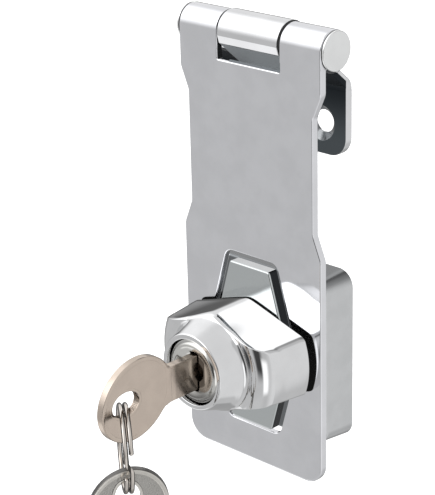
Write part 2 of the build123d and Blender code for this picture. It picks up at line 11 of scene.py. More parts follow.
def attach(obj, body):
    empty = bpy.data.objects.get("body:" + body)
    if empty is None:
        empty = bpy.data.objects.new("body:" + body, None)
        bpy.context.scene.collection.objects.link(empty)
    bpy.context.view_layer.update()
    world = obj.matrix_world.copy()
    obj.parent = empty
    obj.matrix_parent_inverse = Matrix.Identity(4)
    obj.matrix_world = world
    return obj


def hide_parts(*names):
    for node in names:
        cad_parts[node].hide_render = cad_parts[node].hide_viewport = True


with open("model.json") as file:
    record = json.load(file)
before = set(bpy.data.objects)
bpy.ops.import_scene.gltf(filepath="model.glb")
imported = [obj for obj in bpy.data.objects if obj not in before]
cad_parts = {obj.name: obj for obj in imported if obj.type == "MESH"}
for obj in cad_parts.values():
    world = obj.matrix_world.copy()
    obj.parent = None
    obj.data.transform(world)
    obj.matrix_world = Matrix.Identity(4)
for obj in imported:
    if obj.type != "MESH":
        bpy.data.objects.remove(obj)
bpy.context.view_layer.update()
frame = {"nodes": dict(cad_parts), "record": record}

mm = 0.001
# Looks turn what is drawn into the frame. Depth is counted from the wall plane towards the viewer.
frontLook = np.array([[1, 0, 0], [0, 0, -1], [0, 1, 0]], float)    # drawn as (x, z, depth)
sideLook = np.array([[0, 0, 1], [-1, 0, 0], [0, 1, 0]], float)     # drawn as (depth, z, x)
print("frame loaded:", len(frame["nodes"]), "parts")


# Sense of a closed outline, by the sign of its area: 1 where it runs anticlockwise, -1 where clockwise.
def outlineSense(points):
    x, z = points.T
    return 1.0 if np.sum(x * np.roll(z, -1) - z * np.roll(x, -1)) > 0 else -1.0


# A closed outline whose corners are rounded: each corner becomes the arc that touches both of its sides,
# and every point carries the outward normal of its side or arc.
def roundedOutline(corners, radii):
    corners = np.asarray(corners, float)
    before = corners - np.roll(corners, 1, axis=0)
    after = np.roll(corners, -1, axis=0) - corners
    turnSign = outlineSense(corners)
    points, normals = [], []
    for corner, entry, leave, radius in zip(corners, before, after, radii):
        entry = entry / np.linalg.norm(entry)
        leave = leave / np.linalg.norm(leave)
        turn = np.arctan2(entry[0] * leave[1] - entry[1] * leave[0], entry @ leave)
        count = max(2, int(abs(np.degrees(turn)) / 7.0) + 2)    # a point at least every 7 degrees
        headings = np.arctan2(entry[1], entry[0]) + np.linspace(0, turn, count)
        left = np.stack([-np.sin(headings), np.cos(headings)], axis=1)
        trim = radius * tan(abs(turn) / 2)
        side = 1.0 if turn > 0 else -1.0
        centre = corner - entry * trim + side * radius * np.array([-entry[1], entry[0]])
        points.append(centre - side * radius * left)
        normals.append(-left * turnSign)
    return np.concatenate(points), np.concatenate(normals)


# An ellipse: x = a cos t, z = b sin t, with the normal of that curve.
def ovalOutline(centreX, centreZ, halfX, halfZ, count=72):
    t = np.linspace(0, 2 * pi, count, endpoint=False)
    points = np.stack([centreX + halfX * np.cos(t), centreZ + halfZ * np.sin(t)], axis=1)
    normals = np.stack([np.cos(t) / halfX, np.sin(t) / halfZ], axis=1)
    return points, normals / np.linalg.norm(normals, axis=1, keepdims=True)


# A hole's outline is an outline whose solid lies outside it, so its normals point to the middle.
def asHole(outline):
    return outline[0][::-1], -outline[1][::-1]


# A closed outline given by its points: each normal halves the angle between the normals of its two sides.
def tracedOutline(points):
    points = np.asarray(points, float)
    ahead = np.roll(points, -1, axis=0) - points
    ahead = ahead / np.maximum(np.linalg.norm(ahead, axis=1, keepdims=True), 1e-9)    # 0 at a doubled point
    along = ahead + np.roll(ahead, 1, axis=0)
    normals = np.stack([along[:, 1], -along[:, 0]], axis=1) * outlineSense(points)
    return points, normals / np.linalg.norm(normals, axis=1, keepdims=True)


# Direction from a centre to a point, in degrees.
def angleOf(point, centre):
    return np.degrees(atan2(point[1] - centre[1], point[0] - centre[0]))


# Points of an arc between two angles in degrees, spaced by about one step.
def arcPoints(centre, radius, first, last, step):
    count = max(2, int(abs(last - first) / step) + 1)
    t = np.radians(np.linspace(first, last, count))
    return np.stack([centre[0] + radius * np.cos(t), centre[1] + radius * np.sin(t)], axis=1)


# Inset and place of a side wall whose two edges are rounded by quarter circles.
def rolledSide(low, high, rollLow, rollHigh):
    t = np.linspace(0, pi / 2, 6)
    first = np.stack([rollLow * (1 - np.sin(t)), low + rollLow * (1 - np.cos(t))], axis=1)
    last = np.stack([rollHigh * (1 - np.sin(t)), high - rollHigh * (1 - np.cos(t))], axis=1)[::-1]
    return np.concatenate([first, last])


# Collects points and faces in millimetres, turned by a look and then moved, and makes one object of them.
class MeshParts:
    def __init__(self, look=frontLook, move=(0, 0, 0)):
        self.look = look
        self.move = np.array(move, float)
        self.points = []
        self.faces = []
        self.count = 0

    def add(self, points, faces):
        self.points.append(np.asarray(points, float) @ self.look.T + self.move)
        self.faces += (faces + self.count).tolist()
        self.count += len(points)

    # A grid of points: row i and column j make one four-sided face with their next neighbours.
    def addGrid(self, grid, closedRows=False, closedColumns=False):
        rows, columns = grid.shape[:2]
        i = np.arange(rows if closedRows else rows - 1)
        j = np.arange(columns if closedColumns else columns - 1)
        i, j = [part.ravel() for part in np.meshgrid(i, j, indexing="ij")]
        here, there, nextJ = i * columns, (i + 1) % rows * columns, (j + 1) % columns
        self.add(grid.reshape(-1, 3), np.stack([here + j, there + j, there + nextJ, here + nextJ], axis=1))

    # Carries an outline down an edge profile: the point is p - n * inset, at each row's depth.
    def addWall(self, outline, rows):
        points, normals = outline
        rows = np.asarray(rows, float)
        flat = points[None] - normals[None] * rows[:, :1, None]
        depth = np.broadcast_to(rows[:, 1][:, None, None], flat.shape[:2] + (1,))
        self.addGrid(np.concatenate([flat, depth], axis=2), closedColumns=True)

    # A flat face at one depth between an outline and its holes, each moved in by an inset: those triangles
    # between all the points whose middles lie inside the outline and outside the holes.
    def addFace(self, depth, outline, holes=(), inset=0.0, holeInsets=()):
        loops = [outline[0] - outline[1] * inset]
        loops += [hole[0] - hole[1] * holeInset for hole, holeInset in zip(holes, holeInsets)]
        starts = np.cumsum([0] + [len(loop) for loop in loops])
        sides = [np.arange(len(loop)) for loop in loops]
        edges = [np.stack([side, np.roll(side, -1)], axis=1) + start for start, side in zip(starts, sides)]
        result = delaunay_2d_cdt(np.concatenate(loops).tolist(), np.concatenate(edges).tolist(), [], 0, 1e-5)
        flat, joined = np.array(result[0]), np.array(result[2])
        middles = flat[joined].mean(axis=1)
        inside = insideLoop(middles, loops[0])
        for loop in loops[1:]:
            inside &= ~insideLoop(middles, loop)
        self.add(np.column_stack([flat, np.full(len(flat), depth)]), joined[inside])

    # A slab between two places, its outer edges and each hole's edges rounded. A hole is (outline, roll).
    def addSlab(self, outline, low, high, rollLow, rollHigh, holes=()):
        self.addWall(outline, rolledSide(low, high, rollLow, rollHigh))
        for hole, roll in holes:
            self.addWall(hole, rolledSide(low, high, roll, roll))
        for place, roll in ((low, rollLow), (high, rollHigh)):
            self.addFace(place, outline, [hole for hole, _ in holes], roll, [roll for _, roll in holes])

    # Joins the seams within a weld distance in millimetres and makes the object.
    def build(self, name, sharpAngle=35.0, weld=0.002):
        mesh = bpy.data.meshes.new(name)
        mesh.from_pydata((np.concatenate(self.points) * mm).tolist(), [], self.faces)
        body = bmesh.new()
        body.from_mesh(mesh)
        bmesh.ops.remove_doubles(body, verts=body.verts, dist=weld * mm)
        bmesh.ops.dissolve_degenerate(body, edges=body.edges, dist=weld * mm / 4)
        bmesh.ops.recalc_face_normals(body, faces=body.faces)
        body.to_mesh(mesh)
        body.free()
        smoothMesh(mesh, sharpAngle)
        piece = bpy.data.objects.new(name, mesh)
        bpy.context.scene.collection.objects.link(piece)
        weighted = piece.modifiers.new("evenNormals", "WEIGHTED_NORMAL")
        weighted.keep_sharp = True
        weighted.weight = 80
        return piece


# True where a point lies inside a closed loop: it crosses the loop's sides an odd number of times.
def insideLoop(points, loop):
    x, z = points[:, 0][:, None], points[:, 1][:, None]
    x1, z1 = loop[:, 0][None], loop[:, 1][None]
    x2, z2 = np.roll(loop[:, 0], -1)[None], np.roll(loop[:, 1], -1)[None]
    crosses = (z1 > z) != (z2 > z)
    run = np.where(z2 == z1, 1.0, z2 - z1)
    return (np.sum(crosses & (x < (x2 - x1) * (z - z1) / run + x1), axis=1) % 2) == 1


# Smooth shading, but for the edges where the surface turns by more than an angle.
def smoothMesh(mesh, sharpAngle=35.0):
    mesh.shade_smooth()
    mesh.set_sharp_from_angle(angle=radians(sharpAngle))


# Cuts closed shapes out of a piece and keeps the result as its mesh.
def cutOut(piece, cutters):
    for cutter in cutters:
        modifier = piece.modifiers.new("cut", "BOOLEAN")
        modifier.operation = "DIFFERENCE"
        modifier.solver = "EXACT"
        modifier.object = cutter
        piece.modifiers.move(len(piece.modifiers) - 1, 0)
        depsgraph = bpy.context.evaluated_depsgraph_get()
        weighted = piece.modifiers["evenNormals"]
        weighted.show_viewport = False
        depsgraph.update()
        mesh = bpy.data.meshes.new_from_object(piece.evaluated_get(depsgraph))
        weighted.show_viewport = True
        piece.modifiers.remove(modifier)
        piece.data = mesh
        bpy.data.objects.remove(cutter)
    smoothMesh(piece.data)


# A plain box between two corners, for cutting.
def boxPiece(name, low, high):
    corners = [(low[0], low[2]), (high[0], low[2]), (high[0], high[2]), (low[0], high[2])]
    outline = roundedOutline(corners, [0.0001] * 4)    # as good as sharp
    parts = MeshParts()
    parts.addWall(outline, [(0, -high[1]), (0, -low[1])])
    parts.addFace(-low[1], outline)
    parts.addFace(-high[1], outline)
    return parts.build(name)


# Shader maths: an expression on signals adds its own Math nodes.
class Signal:
    def __init__(self, bench, socket):
        self.bench = bench
        self.socket = socket

    def __add__(self, other):
        return self.bench.math("ADD", self, other)

    def __sub__(self, other):
        return self.bench.math("SUBTRACT", self, other)

    def __rsub__(self, other):
        return self.bench.math("SUBTRACT", other, self)

    def __mul__(self, other):
        return self.bench.math("MULTIPLY", self, other)

    def __truediv__(self, other):
        return self.bench.math("DIVIDE", self, other)

    def __rtruediv__(self, other):
        return self.bench.math("DIVIDE", other, self)

    def __abs__(self):
        return self.bench.math("ABSOLUTE", self, 0.0)

    def __neg__(self):
        return self * -1.0

    def most(self, other):
        return self.bench.math("MAXIMUM", self, other)

    def least(self, other):
        return self.bench.math("MINIMUM", self, other)

    # 0 below low and 1 above high, with an S-shaped rise between
    def rise(self, low, high):
        return self.bench.node("ShaderNodeMapRange", {"interpolation_type": "SMOOTHSTEP"},
                               {"Value": self, "From Min": low, "From Max": high}, "Result")

    __radd__ = __add__
    __rmul__ = __mul__


# Makes the nodes of one tree.
class Bench:
    def __init__(self, tree):
        self.tree = tree

    # Any node: its settings are set first, then each named or numbered socket gets a value or a link.
    def node(self, kind, settings=None, sockets=None, output=0):
        made = self.tree.nodes.new(kind)
        for key, value in (settings or {}).items():
            setattr(made, key, value)
        for key, value in (sockets or {}).items():
            slot = made.inputs[key]
            if isinstance(value, Signal):
                self.tree.links.new(value.socket, slot)
            else:
                slot.default_value = value
        return Signal(self, made.outputs[output])

    def math(self, operation, first, second):
        return self.node("ShaderNodeMath", {"operation": operation}, {0: first, 1: second})

    def mixColour(self, factor, first, second):
        return self.node("ShaderNodeMix", {"data_type": "RGBA"}, {0: factor, 6: first, 7: second}, 2)

    def noise(self, place, scale, detail):
        sockets = {"Vector": place, "Scale": scale, "Detail": detail}
        return self.node("ShaderNodeTexNoise", None, sockets, "Fac")

    def finish(self, kind, surface):
        output = self.tree.nodes.new(kind)
        self.tree.links.new(surface.socket, output.inputs["Surface"])

    def objectPlace(self):
        return self.node("ShaderNodeTexCoord", None, None, "Object")

    def bump(self, height, strength, distance):
        sockets = {"Height": height, "Strength": strength, "Distance": distance}
        return self.node("ShaderNodeBump", None, sockets, "Normal")


# An empty material with a plain colour for the viewport, and its bench.
def newMaterial(name, viewColour):
    material = bpy.data.materials.new(name)
    material.use_nodes = True
    material.node_tree.nodes.clear()
    material.diffuse_color = (*viewColour, 1.0)
    return material, Bench(material.node_tree)


# Knob: for each angle round the axis, a section that runs from the bore up the cone, over the shoulder and
# down the side of a rounded hexagon, then round the spindle. Sizes are in millimetres, here and below.
knobShape = {
    "midHalfHeight": 12.4, "taper": 0.32, "midBlend": 0.10, "tipRadius": 18.8, "tipBlend": 1.1,
    "rear": 11.6, "rearRound": 0.25, "sideFillet": 0.75, "draft": 0.135, "draftDepth": 4.6,
    "creaseRadius": 11.3, "creaseDepth": 24.45, "creaseBlend": 1.5, "creaseLeast": 0.2, "coneBlend": 1.4,
    "ridgeRise": 0.75, "ridgeIn": 0.45, "ridgeFillet": 1.9, "ridgeDrop": 0.9, "ridgeBlend": 0.6,
    "ridgePower": 3.5, "shoulderPeak": 24.8, "shoulderStart": 12.9, "shoulderDrop": 4.9, "shoulderPower": 2.3,
    "shoulderMost": 1.2, "rimRadius": 9.12, "rimDepth": 30.85, "rimRound": 0.35,
    "boreRadius": 7.95, "boreDepth": 10.6, "boreRound": 0.2,
    "spindleRadius": 8.95, "spindleBore": 7.6, "spindleEnd": 0.9,
    "slotHalf": 2.6, "slotTop": 8.4, "slotOver": (1.0, 0.5), "columns": 540}


# Smaller of two values with a rounded corner where they cross.
def softLeast(first, second, blend):
    near = np.maximum(blend - np.abs(first - second), 0) / blend
    return np.minimum(first, second) - near * near * blend / 4


# Outline radius r(angle): the smaller of the slanted sides h / (|sin| + taper |cos|) and the tips' circle.
def knobOutline(angle, shape=knobShape):
    across = np.sqrt(np.cos(angle) ** 2 + shape["midBlend"] ** 2) - shape["midBlend"] * 0.5
    sides = shape["midHalfHeight"] / (np.abs(np.sin(angle)) + shape["taper"] * across)
    return softLeast(sides, shape["tipRadius"] + 0 * angle, shape["tipBlend"])


# Shoulder depth at a radius: flat near the boss, then falling by a power of the distance to the tips.
def shoulderDepth(radius, shape=knobShape):
    start = shape["shoulderStart"]
    reach = np.clip((radius - start) / (shape["tipRadius"] - start), 0, shape["shoulderMost"])
    return shape["shoulderPeak"] - shape["shoulderDrop"] * reach ** shape["shoulderPower"]


# Points of a curve that rounds a corner: a quadratic from one side to the other, pulled by the corner.
def cornerCurve(first, corner, last, steps):
    t = np.linspace(0, 1, steps)[:, None, None]
    return (1 - t) ** 2 * first[None] + 2 * t * (1 - t) * corner[None] + t ** 2 * last[None]


# Points of a straight line.
def straightRun(first, last, steps):
    t = np.linspace(0, 1, steps)[:, None, None]
    return (1 - t) * first[None] + t * last[None]


# The ridge is where the cone melts into the shoulder, at the top and bottom: there the crease lies further
# forward and further in, and the edge has a larger fillet.
def makeKnob():
    shape = knobShape
    angle = np.linspace(0, 2 * pi, shape["columns"], endpoint=False)
    radius = knobOutline(angle)
    ridge = np.abs(np.sin(angle)) ** shape["ridgePower"]
    tips = np.cos(angle) ** 2
    fillet = shape["sideFillet"] + (shape["ridgeFillet"] - shape["sideFillet"]) * ridge
    blend = shape["creaseBlend"] + shape["ridgeBlend"] * ridge
    crease = shape["creaseRadius"] - shape["ridgeIn"] * ridge
    creaseDepth = shape["creaseDepth"] + shape["ridgeRise"] * ridge

    def at(r, depth):
        return np.stack([r + 0 * angle, depth + 0 * angle], axis=1)

    def shoulderAt(r):
        return shoulderDepth(r) - shape["ridgeDrop"] * ridge * np.clip((r - crease) / (radius - crease), 0, 1)

    bore, boreRound = shape["boreRadius"], shape["boreRound"]
    rear, rearRound = shape["rear"], shape["rearRound"]
    rim, rimDepth, rimRound = shape["rimRadius"], shape["rimDepth"], shape["rimRound"]
    inner = radius - shape["draft"] * shape["draftDepth"] * tips - fillet
    inner = np.maximum(inner, crease + shape["creaseLeast"])
    creaseOuter = np.minimum(crease + blend, inner)
    slope = (crease - rim) / (rimDepth - creaseDepth)
    coneFoot = at(crease - slope * shape["coneBlend"] * blend, creaseDepth + shape["coneBlend"] * blend)
    rimSide = at(rim + slope * rimRound, rimDepth - rimRound)
    edge = shoulderDepth(radius) - shape["ridgeDrop"] * ridge
    sideTop = radius - shape["draft"] * (edge - fillet - rear) * tips
    across = creaseOuter[None] + (inner - creaseOuter)[None] * np.linspace(0, 1, 22)[1:, None]
    rings = np.concatenate([
        straightRun(at(bore, shape["boreDepth"]), at(bore, rimDepth - boreRound), 3),
        cornerCurve(at(bore, rimDepth - boreRound), at(bore, rimDepth), at(bore + boreRound, rimDepth),
                    4)[1:],
        cornerCurve(at(rim - rimRound, rimDepth), at(rim, rimDepth), rimSide, 7),
        straightRun(rimSide, coneFoot, 14)[1:],
        cornerCurve(coneFoot, at(crease, creaseDepth), at(creaseOuter, shoulderAt(creaseOuter)), 14)[1:],
        np.stack([across, shoulderAt(across)], axis=2),
        cornerCurve(at(inner, shoulderAt(inner)), at(sideTop, edge), at(sideTop, edge - fillet), 10)[1:],
        straightRun(at(sideTop, edge - fillet), at(radius, rear + rearRound), 9)[1:],
        cornerCurve(at(radius, rear + rearRound), at(radius, rear), at(radius - rearRound, rear), 4)[1:],
        straightRun(at(shape["spindleRadius"], rear), at(shape["spindleRadius"], shape["spindleEnd"]), 2),
        at(shape["spindleBore"], shape["spindleEnd"])[None],
        at(shape["spindleBore"], shape["boreDepth"])[None],
    ])
    grid = np.stack([rings[..., 0] * np.cos(angle), rings[..., 0] * np.sin(angle), rings[..., 1]], axis=2)
    parts = MeshParts()
    parts.addGrid(grid, closedRows=True, closedColumns=True)
    knob = parts.build("turnKnob")
    half, (below, behind) = shape["slotHalf"], shape["slotOver"]
    cutOut(knob, [boxPiece("spindleSlot", (-half, -shape["slotTop"], -shape["spindleRadius"] - below),
                           (half, behind, 0))])
    finishPiece(knob, "turn_knob", "knobChrome", "knob")


# Hinge, shared by the strap and the leaf. Its axis, as the section points below, is (depth, height).
hinge = {"axis": (5.85, 73.35), "knuckle": 4.65, "middleKnuckle": 4.9, "pin": 2.85, "windowHalf": 9.4,
         "sideGap": 0.3, "knuckleRoll": 0.3, "overlap": 0.05}
strapShape = {
    "halfWidth": 21.3, "waistHalf": 18.95, "back": 8.65, "front": 10.45, "bottom": -30.1, "cornerRadius": 5.0,
    "shoulders": (25.9, 31.6, 58.7, 64.1), "shoulderRadius": 3.0, "frontRoll": 0.45, "backRoll": 0.2,
    "plateTop": 70.2, "topCorner": 0.46, "windowBottom": 67.4, "windowCorner": 0.4, "curlEnd": 250.0,
    "earFoot": 1.5, "holeTop": 22.2, "holeBottom": -20.8, "holeRoll": 0.35, "holeCorner": 2.6,
    "holeMiddle": 0.3, "holeGap": 2.2, "hexagonMid": 12.0, "hexagonEnd": 6.2, "hexagonLength": 20.0}
hexagonSlope = (strapShape["hexagonMid"] - strapShape["hexagonEnd"]) / strapShape["hexagonLength"]


# Corners of the base's hexagon moved out by a gap: each slanted side is shifted square to itself.
def hexagonCorners(gap, top, bottom):
    slope = hexagonSlope
    middle = strapShape["hexagonMid"] + gap * sqrt(1 + slope * slope)
    return [(middle - slope * top, top), (-middle + slope * top, top), (-middle, 0),
            (-middle - slope * bottom, bottom), (middle + slope * bottom, bottom), (middle, 0)]


# Section of a rolled ear: up the plate's front, which swells to the knuckle by an S-shaped step, round the
# pin to the curl's end and back along the inside.
def earSection(shape=strapShape):
    depth, height = hinge["axis"]
    start = shape["plateTop"] - shape["frontRoll"] - hinge["overlap"]
    rise = np.linspace(0, 1, 7)
    swell = (depth + hinge["knuckle"] - shape["front"]) * rise * rise * (3 - 2 * rise)
    front = np.stack([shape["front"] + swell, start + (height - start) * rise], axis=1)
    outer = arcPoints(hinge["axis"], hinge["knuckle"], 0, shape["curlEnd"], 5)[1:]
    inner = arcPoints(hinge["axis"], hinge["pin"], shape["curlEnd"], 0, 7)
    foot = np.array([(shape["back"], start + shape["earFoot"]), (shape["back"], start)])
    return tracedOutline(np.concatenate([front, outer, inner, foot]))


# Strap: a pressed plate with shoulders, the hexagonal hole and a window, and two ears rolled round the pin.
def makeStrap():
    shape = strapShape
    wide, waist, top, window = shape["halfWidth"], shape["waistHalf"], shape["plateTop"], hinge["windowHalf"]
    low, lowEnd, high, highEnd = shape["shoulders"]
    right = [(wide, shape["bottom"]), (wide, low), (waist, lowEnd), (waist, high), (wide, highEnd),
             (wide, top), (window, top), (window, shape["windowBottom"])]
    radii = ([shape["cornerRadius"]] + [shape["shoulderRadius"]] * 4 + [shape["topCorner"]] * 2
             + [shape["windowCorner"]])
    outline = roundedOutline(right + [(-x, z) for x, z in right[::-1]], radii + radii[::-1])
    end, middle = shape["holeCorner"], shape["holeMiddle"]
    hole = asHole(roundedOutline(hexagonCorners(shape["holeGap"], shape["holeTop"], shape["holeBottom"]),
                                 [end, end, middle, end, end, middle]))
    parts = MeshParts()
    parts.addSlab(outline, shape["back"], shape["front"], shape["backRoll"], shape["frontRoll"],
                  [(hole, shape["holeRoll"])])
    parts.look = sideLook
    ear = earSection()
    parts.addSlab(ear, window, wide, hinge["knuckleRoll"], shape["frontRoll"])
    parts.addSlab(ear, -wide, -window, shape["frontRoll"], hinge["knuckleRoll"])
    finishPiece(parts.build("strapPlate"), "mount", "strapChrome", "strap")


# Plinth: the hexagon that stands through the strap's hole, with a rolled front edge and the spindle's bore.
plinthShape = {"low": 9.75, "high": 11.26, "overlap": 0.012, "rearRoll": 0.05, "roll": 0.5, "corner": 0.85,
               "bore": 9.1, "boreRoll": 0.1}


def makePlinth():
    shape = plinthShape
    length = strapShape["hexagonLength"] + shape["overlap"]
    outline = roundedOutline(hexagonCorners(shape["overlap"], length, -length), [shape["corner"]] * 6)
    bore = asHole(ovalOutline(0, 0, shape["bore"], shape["bore"], 90))
    parts = MeshParts()
    parts.addSlab(outline, shape["low"], shape["high"], shape["rearRoll"], shape["roll"],
                  [(bore, shape["boreRoll"])])
    finishPiece(parts.build("plinthFace"), "mount", "castChrome")


leafShape = {
    "halfWidth": 21.3, "thickness": 2.2, "bottom": 48.1, "cornerRadius": 4.5, "cornerSpare": 0.01,
    "flatTop": 63.7, "roll": 0.3, "rearRoll": 0.15, "bendFront": (2.2, 64.36), "bendRear": (0.0, 65.386),
    "bendRadius": 1.2, "bend": 50.0, "flatFrom": 8.0, "flatEnd": (10.8, 73.0), "ledge": (10.22, 71.15),
    "tongueEnd": (0, 80), "tongueRadii": (0.01, 0.32, 0.32, 0.3, 0.01), "tongueSpan": (70.85, 73.89),
    "boreRoll": 0.1, "sweep": 5.0, "wingUnder": 0.3, "wingRoll": 0.1, "screws": 14.0, "screwHeight": 55.2,
    "screwRadius": 2.6, "screwRound": 0.15, "screwEase": 0.04, "sinkRadius": 4.2}


# Corner of a bent strip, between an upright and a slope that leans forward: the arc that touches both.
def bendPoints(corner, direction, radius):
    lean = atan2(direction[0], direction[1])
    t = np.linspace(0, lean, 7)
    trim = radius * tan(lean / 2)
    return np.stack([corner[0] + radius * (1 - np.cos(t)), corner[1] - trim + radius * np.sin(t)], axis=1)


# Where a line first meets a circle: the point of the line nearest the centre, less half the chord.
def circleHit(start, direction, centre, radius):
    offset = start - centre
    middle = -(offset @ direction)
    half = sqrt(radius ** 2 - (offset @ offset - middle ** 2))
    return start + direction * (middle - half)


# Leaf: a flat plate with two countersunk holes, then a bent strip in three parts side by side. The middle one
# goes on to the middle knuckle, and the outer two end in hollows that clear the strap's ears.
def makeLeaf():
    shape = leafShape
    axis = np.array(hinge["axis"])
    wide, thick, rear, roll = shape["halfWidth"], shape["thickness"], shape["rearRoll"], shape["roll"]
    corner, upper = shape["cornerRadius"], shape["roll"] + shape["cornerSpare"]
    outline = roundedOutline([(wide, shape["bottom"]), (wide, shape["flatTop"]), (-wide, shape["flatTop"]),
                              (-wide, shape["bottom"])], [corner, upper, upper, corner])
    screw, ease, ring = shape["screwRadius"], shape["screwEase"], shape["screwRound"]
    aside, height = shape["screws"], shape["screwHeight"]
    holes = [asHole(ovalOutline(x, height, screw, screw)) for x in (-aside, aside)]
    sink = shape["sinkRadius"] - screw
    parts = MeshParts()
    parts.addWall(outline, rolledSide(0, thick, rear, roll))
    for hole in holes:
        parts.addWall(hole, [(ring, 0), (ease, ease), (0, ring), (0, thick - sink), (sink, thick)])
    parts.addFace(0, outline, holes, rear, [ring, ring])
    parts.addFace(thick, outline, holes, roll, [sink, sink])

    flatFrom = radians(shape["flatFrom"])
    onKnuckle = axis + hinge["middleKnuckle"] * np.array([cos(flatFrom), sin(flatFrom)])
    lower = [shape["bendFront"], shape["ledge"], shape["flatEnd"], onKnuckle, shape["tongueEnd"]]
    lower = roundedOutline(lower, shape["tongueRadii"])[0]
    low, high = shape["tongueSpan"]
    lower = lower[(lower[:, 1] > low) & (lower[:, 1] < high)]
    start = shape["flatTop"] - roll - hinge["overlap"]
    rearStart, frontStart = np.array(shape["bendRear"]), np.array(shape["bendFront"])
    frontWay = lower[0] - frontStart
    frontWay = frontWay / np.linalg.norm(frontWay)
    rearWay = np.array([sin(radians(shape["bend"])), cos(radians(shape["bend"]))])
    rearHit = circleHit(rearStart, rearWay, axis, hinge["middleKnuckle"])
    knuckle = arcPoints(axis, hinge["middleKnuckle"], shape["flatFrom"], angleOf(rearHit, axis) + 360, 5)
    stops = [angleOf(circleHit(begin, way, axis, shape["sweep"]), axis)
             for begin, way in ((frontStart, frontWay), (rearStart, rearWay))]
    hollow = arcPoints(axis, shape["sweep"], *stops, 11)
    rising = [[(thick, start)], bendPoints(frontStart, frontWay, shape["bendRadius"])]
    falling = [bendPoints(rearStart, rearWay, shape["bendRadius"] + thick)[::-1], [(0.0, start)]]
    tongue = tracedOutline(np.concatenate(rising + [lower, knuckle] + falling))
    wing = tracedOutline(np.concatenate(rising + [hollow] + falling))
    bore = asHole(ovalOutline(axis[0], axis[1], hinge["pin"], hinge["pin"], 60))
    half, knuckleRoll = hinge["windowHalf"] - hinge["sideGap"], hinge["knuckleRoll"]
    wingHalf, wingRoll = half - shape["wingUnder"], shape["wingRoll"]
    parts.look = sideLook
    parts.addSlab(tongue, -half, half, knuckleRoll, knuckleRoll, [(bore, shape["boreRoll"])])
    parts.addSlab(wing, wingHalf, wide, wingRoll, roll)
    parts.addSlab(wing, -wide, -wingHalf, roll, wingRoll)
    finishPiece(parts.build("hingeLeaf"), "leaf", "leafChrome", "hinge_leaf")


# Plug: turned about the axis from its rear to its rolled and dished face, then cut for the key's way.
plugShape = {
    "rear": 10.5, "radius": 5.85, "headRear": 26.7, "headRadius": 7.7, "face": 30.6, "edgeRoll": 0.35,
    "dish": 1.0, "dishFrom": 6.4, "dishTo": 3.8, "crownDrop": 0.75, "crownWidth": 1.3, "pole": 0.001,
    "columns": 180, "mouthRadius": 2.65, "mouthFloor": 27.8, "mouthRoll": 0.01, "cutOver": 1.0,
    "slots": ((1.25, 4.75, 27.2), (1.075, 4.5, 14.3))}    # each (half width, half height, floor)


# From the rim inwards the face rises by a square to its crown, then falls by an S-shaped step into the dish.
def makePlug():
    shape = plugShape
    roll, head, face, pole = shape["edgeRoll"], shape["headRadius"], shape["face"], shape["pole"]
    turn = np.radians(np.linspace(0, 90, 8))
    drop = shape["crownDrop"]
    edge = np.stack([head - roll + roll * np.cos(turn), face - roll - drop + roll * np.sin(turn)], axis=1)
    across = (head - roll) * (1 - np.linspace(0, 1, 40)[1:])
    swell = np.clip((head - roll - across) / shape["crownWidth"], 0, 1)
    fall = np.clip((shape["dishFrom"] - across) / (shape["dishFrom"] - shape["dishTo"]), 0, 1)
    top = face - drop * (1 - swell) ** 2 - shape["dish"] * fall * fall * (3 - 2 * fall)
    profile = np.concatenate([[(pole, shape["rear"]), (shape["radius"], shape["rear"]),
                               (shape["radius"], shape["headRear"]), (head, shape["headRear"])],
                              edge, np.stack([across, top], axis=1)])
    profile[-1, 0] = pole
    around = np.linspace(0, 2 * pi, shape["columns"], endpoint=False)
    radius, depth = profile[:, 0, None], profile[:, 1, None]
    parts = MeshParts()
    parts.addGrid(np.stack([radius * np.cos(around), radius * np.sin(around), depth + 0 * around], axis=2),
                  closedColumns=True)
    plug = parts.build("lockPlug")
    front, wide, mouthRoll = face + shape["cutOver"], shape["mouthRadius"], shape["mouthRoll"]
    mouth = MeshParts()
    mouth.addSlab(ovalOutline(0, 0, wide, wide, 60), shape["mouthFloor"], front, mouthRoll, mouthRoll)
    cutters = [mouth.build("plugMouth")]
    for half, height, floor in shape["slots"]:
        cutters.append(boxPiece("plugSlot", (-half, -front, -height), (half, -floor, height)))
    cutOut(plug, cutters)
    finishPiece(plug, "lock_plug", "plugChrome", "plug")


# Keys: drawn from the side as (distance from the wall, height), the blade pointing at the wall.
keyShape = {
    "bowCentre": 48.6, "bowLong": 10.75, "bowShort": 9.1, "bowTilt": -26.0, "half": 1.0, "bladeHalf": 0.975,
    "bladeHeight": 4.3, "bladeRoll": 0.15, "bladeUnder": 2.4, "tip": 14.7, "point": 2.0, "upperFillet": 1.2,
    "lowerFillet": 4.5, "filletSearch": (25.0, 3.0), "filletReach": 0.3, "edgeRoll": 0.32, "rimWidth": 1.1,
    "rimRoll": 0.1, "webUnder": 0.4, "webRoll": 0.02, "webHoleRoll": 0.05, "holeCentre": 52.0,
    "holeLong": 4.05, "holeShort": 2.9, "holeRim": 0.72, "holeRoll": 0.18, "holeDrop": 0.02, "neck": 37.4,
    "cuts": (24.6, 22.5, 20.4, 18.3, 16.2), "cutDepths": (0.3, 0.6, 0.3, 0.6, 0.3), "cutHalf": 0.9,
    "cutFlat": 0.3, "recess": 0.06, "spareRecess": 0.26}


# The bow's ellipse, its long axis turned down as it leaves the lock, shrunk by an offset.
def bowPoints(t, offset=0.0, shape=keyShape):
    tilt = radians(shape["bowTilt"])
    along, across = (shape["bowLong"] - offset) * np.cos(t), (shape["bowShort"] - offset) * np.sin(t)
    return np.stack([shape["bowCentre"] + along * cos(tilt) - across * sin(tilt),
                     along * sin(tilt) + across * cos(tilt)], axis=-1)


